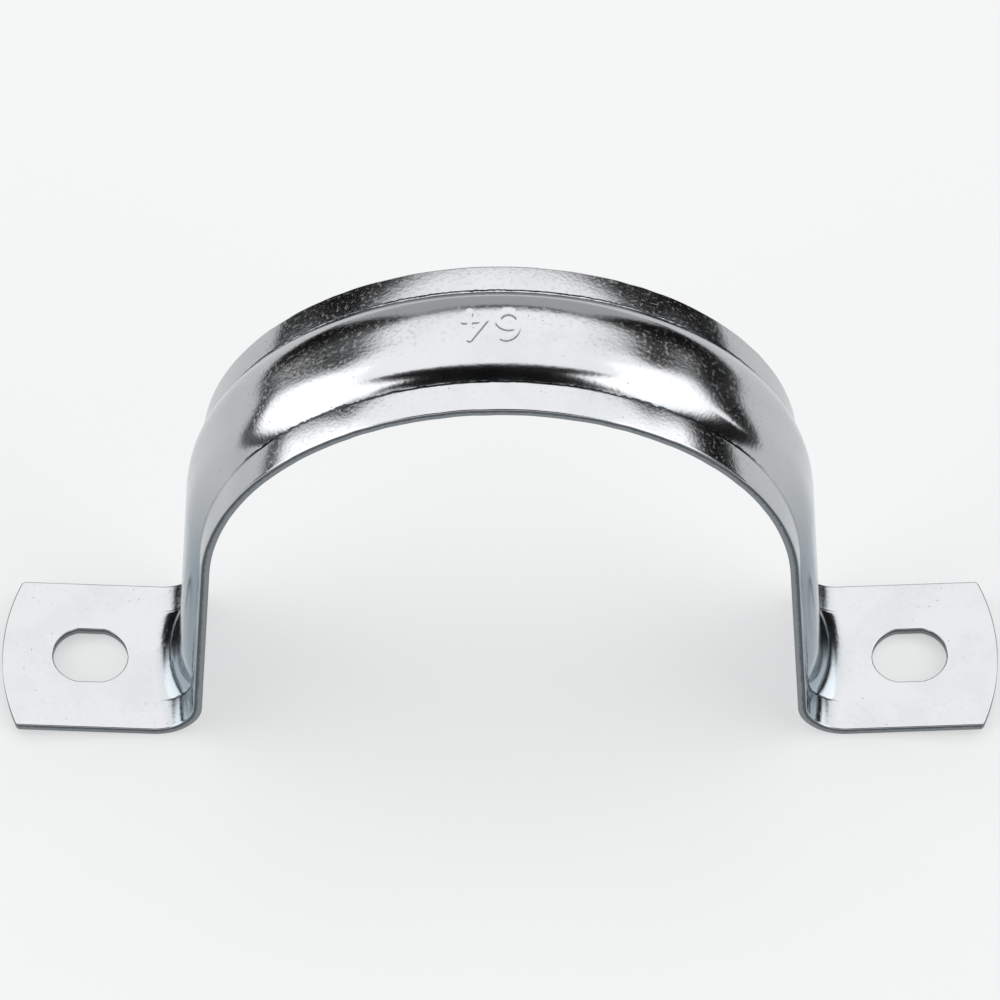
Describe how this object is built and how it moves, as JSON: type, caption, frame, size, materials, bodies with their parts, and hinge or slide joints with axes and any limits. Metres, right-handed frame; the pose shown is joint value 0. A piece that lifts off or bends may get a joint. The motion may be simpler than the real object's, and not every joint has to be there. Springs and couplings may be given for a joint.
{
  "type": "conduit strap",
  "caption": "Pressed sheet-metal strap with a half-round ribbed arch and slotted feet, which holds a round conduit to a flat surface.",
  "frame": {"origin": "midway between the feet, at the middle of the strap's width, level with the underside of the bends that touch the wall", "axes": "+X from foot to foot, +Y along the conduit, +Z away from the wall, up through the arch"},
  "size_m": [0.1122, 0.0194, 0.0639],
  "materials": {
    "zinc_plated_steel": "bright zinc plate on cold-rolled steel, satin, with grey sheared edges"
  },
  "bodies": {
    "root": {"strap": "zinc_plated_steel"}
  },
  "joints": []
}
